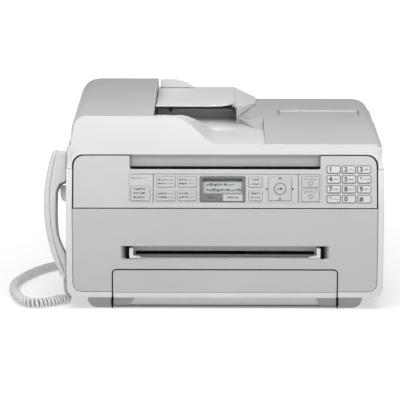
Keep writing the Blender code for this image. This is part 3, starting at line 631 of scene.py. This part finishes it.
KEY_SIZE = (16.0, 8.6)
KEY_PITCH = (19.1, 12.4)
KEY_FIRST = (135.4, 49.4)
KEY_TOP = 1.1
KEY_SIGNS = "123456789*0#"
KEY_NODES = ["key_" + {"*": "star", "#": "hash"}.get(sign, sign) for sign in KEY_SIGNS]
AREA_TOP = 0.1  # top of the keys in the recessed area
PRINT = 0.05  # thickness of printed marks
AREA_FLOOR = -0.8
AREA_EDGE = 120.2
AREA_LOW, AREA_HIGH = 7.6, 43.9
AREA_MIDDLE = (AREA_LOW + AREA_HIGH) / 2
LABEL_LEVEL = 0.2  # top of the display's glass
SCREEN_LEVEL = -4.25  # the display's own face


def flat(outline, level):
    return prism("z", outline, level, level + PRINT)


def writing(centre, width, height, level, seed, gap=0.42):
    """A row of short strokes that stands for a line of small print."""
    u = centre[0] - width / 2
    strokes = []
    k = seed
    while u < centre[0] + width / 2 - height * 0.4:
        k = (k * 5 + 3) % 17
        size = min(height * (0.55 + 0.05 * k), centre[0] + width / 2 - u)
        middle = centre[1] + (0.12 * height if k % 3 else -0.1 * height)
        tall = height * (0.5 + 0.03 * k)
        strokes.append(flat(around((u + size / 2, middle), (size, tall)), level))
        u += size + gap * height
    return strokes


def ring(outline, inner, level):
    """The band between two outlines of equal count."""
    count = len(outline)
    points = [(u, v, z) for z in (level, level + PRINT) for line in (outline, inner) for u, v in line]
    faces = []
    for i in range(count):
        j = (i + 1) % count
        faces.append([i, j, count + j, count + i])
        faces.append([2 * count + i, 2 * count + j, 3 * count + j, 3 * count + i])
        faces.append([i, j, 2 * count + j, 2 * count + i])
        faces.append([count + i, count + j, 3 * count + j, 3 * count + i])
    return points, faces


def frame_line(centre, size, radius, width, level):
    outline = around(centre, size, radius)
    inner = around(centre, (size[0] - 2 * width, size[1] - 2 * width), max(0.1, radius - width))
    return ring(outline, inner, level)


def digit(sign, centre, size, level, body):
    """A sign in plain type, as a thin mesh on the panel plane."""
    curve = bpy.data.curves.new("sign", "FONT")
    curve.body = sign
    curve.size = size
    curve.extrude = PRINT
    curve.offset = 0.035 * size
    curve.align_x = "CENTER"
    curve.align_y = "CENTER"
    holder = linked("sign", curve)
    depsgraph = bpy.context.evaluated_depsgraph_get()
    mesh = bpy.data.meshes.new_from_object(holder.evaluated_get(depsgraph))
    bpy.data.objects.remove(holder)
    mesh.transform(PANEL @ Matrix.Translation((*centre, level)))
    item = linked(f"{body}_sign", mesh)
    finish_mesh(mesh, INK)
    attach(item, body)
    return item


def keypad():
    surrounds = []
    for i, (sign, node) in enumerate(zip(KEY_SIGNS, KEY_NODES)):
        u, v = KEY_FIRST[0] + KEY_PITCH[0] * (i % 3), KEY_FIRST[1] - KEY_PITCH[1] * (i // 3)
        surrounds.append(frame_line((u, v), (KEY_SIZE[0] + 1.7, KEY_SIZE[1] + 1.7), 2.4, 0.45, 0.0))
        softened(node, NUMBER_KEY, 0.7, 3)
        drop = 1.0 if sign == "*" else 0.0
        digit(sign, (u - 3.8, v - drop), 8.2, KEY_TOP, node)
        if sign not in "10#":
            small = writing((u + 2.9, v - 0.2), 6.4, 1.8, KEY_TOP, i + 2)
            piece(node + "_small_print", small, PALE_INK_AND_SHADE, node, PANEL)
    piece("key_surrounds", surrounds, INK, "casing", PANEL)


def area_keys():
    function_buttons = [f"function_button_{i + 1}" for i in range(4)]
    for node in ("answer_mode_button", *function_buttons):
        softened(node, AREA_KEY, 0.5, 2)
    for node in ("menu_button", "redial_button", "stop_button", "start_button", "nav_pad", "ok_button"):
        softened(node, AREA_KEY, 0.5, 2)

    for i, node in enumerate(function_buttons):
        u, v = -73.7 + 26.5 * (i % 2), 33.7 - 17.1 * (i // 2)
        rows = writing((u - 4.5, v + 2.4), 10.5, 2.0, AREA_TOP, 3 * i + 2)
        rows += writing((u - 4.5, v - 2.2), 10.5, 2.0, AREA_TOP, i + 5)
        piece(node + "_print", rows, INK, node, PANEL)
        small = writing((u + 6.3, v + 2.2), 8.5, 1.1, AREA_TOP, i + 7)
        small += writing((u + 6.3, v - 2.3), 8.5, 1.1, AREA_TOP, i + 3)
        piece(node + "_small_print", small, PALE_INK_AND_SHADE, node, PANEL)
    rows = []
    for k, dv in enumerate((5.4, 0.3, -5.0)):
        rows += writing((-107.0, 19.1 + dv), 14.0, 2.1, AREA_TOP, 4 * k + 1)
    piece("answer_mode_button_print", rows, INK, "answer_mode_button", PANEL)
    for node, v, seed in (("menu_button", 33.4, 3), ("redial_button", 16.4, 6)):
        rows = writing((37.9, v + 3.0), 10.5, 1.9, AREA_TOP, seed)
        rows += writing((37.9, v - 2.4), 12.5, 1.5, AREA_TOP, seed + 4)
        piece(node + "_print", rows, INK, node, PANEL)
    stop = writing((106.4, 37.0), 15.5, 1.6, AREA_TOP, 5)
    stop.append(ring(arc((106.6, 32.0), 3.0, 0, 340, 17), arc((106.6, 32.0), 2.1, 0, 340, 17), AREA_TOP))
    piece("stop_button_print", stop, PALE_INK_AND_SHADE, "stop_button", PANEL)
    start = writing((106.4, 21.2), 15.5, 1.5, AREA_TOP, 8)
    start.append(ring(arc((106.6, 15.4), 3.6, 0, 270, 3), arc((106.6, 15.4), 2.3, 0, 270, 3), AREA_TOP))
    piece("start_button_print", start, PALE_INK_AND_SHADE, "start_button", PANEL)


def arrows():
    """Four arrow marks round the navigation pad, and the mark on its middle button."""
    for name, body, level, marks in (
        ("side_arrows", "casing", AREA_FLOOR, (((52.1, 25.0), 180), ((84.5, 25.0), 0))),
        ("up_down_arrows", "nav_pad", AREA_TOP, (((68.5, 38.0), 90), ((68.4, 12.4), 270))),
    ):
        triangles = [flat(arc(centre, 2.1, turn, turn + 240, 2), level) for centre, turn in marks]
        piece(name, triangles, INK, body, PANEL)
    piece("ok_button_print", writing((68.6, 25.0), 7.0, 2.4, 0.4, 4), INK, "ok_button", PANEL)
    lines = [ring(arc((68.6, 25.1), 8.3, 0, 350, 35), arc((68.6, 25.1), 7.9, 0, 350, 35), AREA_TOP)]
    piece("nav_pad_line", lines, PALE_INK_AND_SHADE, "nav_pad", PANEL)


def gap_lines():
    """The black gaps round the panel, the front cover and the cassette, and painted shadow round the sides
    and floor of the paper exit.
    """
    half, top, corner = 189.9, 67.3, 13.0
    notch, floor = 119.0, 49.6
    arch = [(-half, 0.5), *arc((-half + corner, top - corner), corner, 180, 90, 8), (-notch - 0.8, top)]
    mirrored = [(-u, v) for u, v in reversed(arch)]
    beside, above = notch + 0.1, floor + 0.2
    exit_sides = [(-beside, top), (-beside, above), (beside, above), (beside, top)]
    for name, route, radius, level in (
        ("panel_gap_left", arch, 0.62, -0.9),
        ("panel_gap_right", mirrored, 0.62, -0.9),
        # painted shadow down the sides and along the floor of the paper exit
        ("exit_edge_shadow", exit_sides, 0.75, -0.7),
    ):
        piece(name, [tube([(u, v, level) for u, v in route], radius, 8)], GAP_AND_SHADOW, "casing", PANEL, sharp=60)
    # painted shadow: a black band along the paper exit's floor
    lip = prism("z", rectangle((-notch + 0.5, notch - 0.5), (floor - 0.5, floor + 3.8)), -1.3, -0.5)
    piece("exit_shadow", [lip], GAP_AND_SHADOW, "casing", PANEL)

    side, low, high, corner = 190.85, 24.0, 130.4, 10.3
    foot = arc((-side + corner, low + corner), corner, 180, 270, 8)
    edge, head, corner = 141.15, 52.45, 5.0
    cover_left = [(-side, high), *foot, (-edge - 1.2, low)]
    cover_right = [(-x, z) for x, z in cover_left]
    cassette = [(-edge, 2.6), *arc((-edge + corner, head - corner), corner, 180, 90, 6)]
    cassette += [(-x, z) for x, z in reversed(cassette)]
    seam = [(-190.0, 131.2), (190.0, 131.2)]

    def finer_below(distance):
        """Wide down the side of the front cover and finer round its foot."""
        return 0.5 if distance < 100 else 0.3

    for name, route, radius in (
        ("front_cover_gap_left", cover_left, finer_below),
        ("front_cover_gap_right", cover_right, finer_below),
        ("cassette_gap", cassette, 0.8),
        ("panel_seam", seam, 0.5),
    ):
        piece(name, [tube([(x, FRONT + 0.6, z) for x, z in route], radius, 8)], GAP_AND_SHADOW, "casing", sharp=60)
    width, top, bottom = 139.2, 22.6, 16.2
    lip = prism("y", rectangle((-width, width), (bottom, top)), FRONT - 0.25, FRONT + 0.1)
    piece("cassette_lip", [lip], SHELL, "cassette", bevel=0.08)
    line = prism("y", rectangle((-width, width), (top, top + 0.5)), FRONT - 0.1, FRONT + 0.1)
    piece("cassette_line", [line], PALE_INK_AND_SHADE, "cassette")


def panel():
    softened("control_panel", PANEL_SKIN, 0.35, 2)
    softened("control_board", BOARD, 0.2)
    height = AREA_HIGH - AREA_LOW
    bars = [flat(around((u, AREA_MIDDLE), (0.9, height)), AREA_FLOOR) for u in (-89.6, 91.3)]
    piece("area_dividers", bars, INK, "casing", PANEL)
    edge = frame_line((0.0, AREA_MIDDLE), (2 * AREA_EDGE - 0.2, height - 0.2), 3.0, 0.3, AREA_FLOOR)
    piece("area_edge_line", [edge], PALE_INK_AND_SHADE, "casing", PANEL)
    label = writing((-107.5, 38.4), 19.0, 1.6, AREA_FLOOR, 6)
    piece("area_label", label, PALE_INK_AND_SHADE, "casing", PANEL)


def display():
    softened("display_frame", DARK_FRAME, 0.3)
    softened("display_screen", LCD, 0.2)
    dark = flat(rectangle((-30.5, -3.7), (9.9, 18.2), 0.4), LABEL_LEVEL)
    piece("soft_label_dark", [dark], DARK_FRAME, "casing", PANEL)
    pale = flat(rectangle((-2.4, 21.8), (9.9, 18.2), 0.4), LABEL_LEVEL)
    piece("soft_label_pale", [pale], LCD, "casing", PANEL)
    marks = writing((9.8, 14.0), 13.0, 2.2, LABEL_LEVEL + PRINT, 5)
    marks += writing((-16.5, 14.0), 8.0, 2.2, LABEL_LEVEL + PRINT, 2)
    piece("soft_label_print", marks, INK, "casing", PANEL)
    # painted shadow: a darker strip across the top of the screen, under its frame
    shade = flat(rectangle((-27.4, 21.4), (34.6, 37.8)), SCREEN_LEVEL)
    piece("display_shade", [shade], PALE_INK_AND_SHADE, "casing", PANEL)
    rows = writing((-6.0, 30.6), 34.0, 3.2, SCREEN_LEVEL, 4, 0.3)
    rows += writing((-1.0, 24.0), 44.0, 3.2, SCREEN_LEVEL, 7, 0.3)
    piece("display_rows", rows, LCD_INK, "casing", PANEL)


# ---------------------------------------------------------------- handset

HALF = 23.0  # half the handset's width, front to back
SEAM_GAP = 0.35
TOP_RISE = 6.0  # height of the rounded top end
TOP_INSET = 3.2  # how far that end draws in
STATIONS = [3.0 + 153.0 * i / 38 for i in range(39)]
INNER_FACE = -200.7  # the flat of the cups, which rests on the cradle
GRIP_ROUTE = [
    (29.0, -200.7),
    (37.0, -204.6),
    (48.0, -209.5),
    (60.0, -212.5),
    (78.0, -213.6),
    (96.0, -213.6),
    (110.0, -213.2),
]
UPPER_ROUTE = [(119.0, -209.0), (121.5, -203.0), (123.5, -200.9), (140.0, INNER_FACE)]


def outer_x(s):
    """The back of the handset, s up from its foot."""
    return -229.3 + (s - 95.0) ** 2 / 390.0


def seam_x(s):
    """The seam between its two shells."""
    return -221.9 + (s - 98.0) ** 2 / 430.0


TOP_SEAM = seam_x(161.0)


def shell_section(s, root, crown, radius, half=HALF, slant=0.0):
    """A ring at height s: flat at the root side, rounded with radius at the crown side."""
    depth = abs(crown - root)
    toward = 1 if crown > root else -1
    r = min(radius, depth)
    side = [(root, -half + 0.5), (root + toward * min(0.5, depth * 0.2), -half)]
    side += [(crown - toward * r + toward * y, -half + r + x) for x, y in arc((0, 0), r, 180, 90, 7)]
    ring_points = side + [(x, -y) for x, y in reversed(side)]
    return [(x, y, s - slant * (x - TOP_SEAM)) for x, y in ring_points]


def top_end(first):
    """Heights and insets of the rings that round the top end, from the given angle up."""
    for angle in range(first, 91, 15):
        a = math.radians(angle)
        yield STATIONS[-1] + TOP_RISE * math.sin(a), TOP_INSET * (1 - math.cos(a))


def handset():
    """Both shells, each a skin through rings, with rounded ends; the seam between them stays open."""
    outer = [shell_section(0.9, -202.4, -203.6, 1.0)]
    outer += [shell_section(s, seam_x(s), outer_x(s), 6.8) for s in STATIONS]
    outer += [shell_section(s, seam_x(s), outer_x(s) + inset, 6.0, HALF - inset) for s, inset in top_end(15)]
    shell = piece("handset_outer", [loft(outer)], SHELL, "handset", HANDSET, sharp=40)
    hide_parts("handset_outer_shell")

    inner = [(2.4, INNER_FACE)] + smooth(GRIP_ROUTE, 4) + UPPER_ROUTE
    sections = [shell_section(s, seam_x(s) + SEAM_GAP, x, 2.0) for s, x in inner]
    for s, inset in top_end(0):
        sections.append(shell_section(s, seam_x(s) + SEAM_GAP, INNER_FACE, 1.4, HALF - inset, 0.16))
    body = piece("handset_inner", [loft(sections)], SHELL, "handset", HANDSET, sharp=40)
    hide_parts("handset_inner_shell")


def main():
    studio()
    cord()
    casing()
    scanner()
    panel()
    gap_lines()
    keypad()
    area_keys()
    arrows()
    display()
    handset()


main()
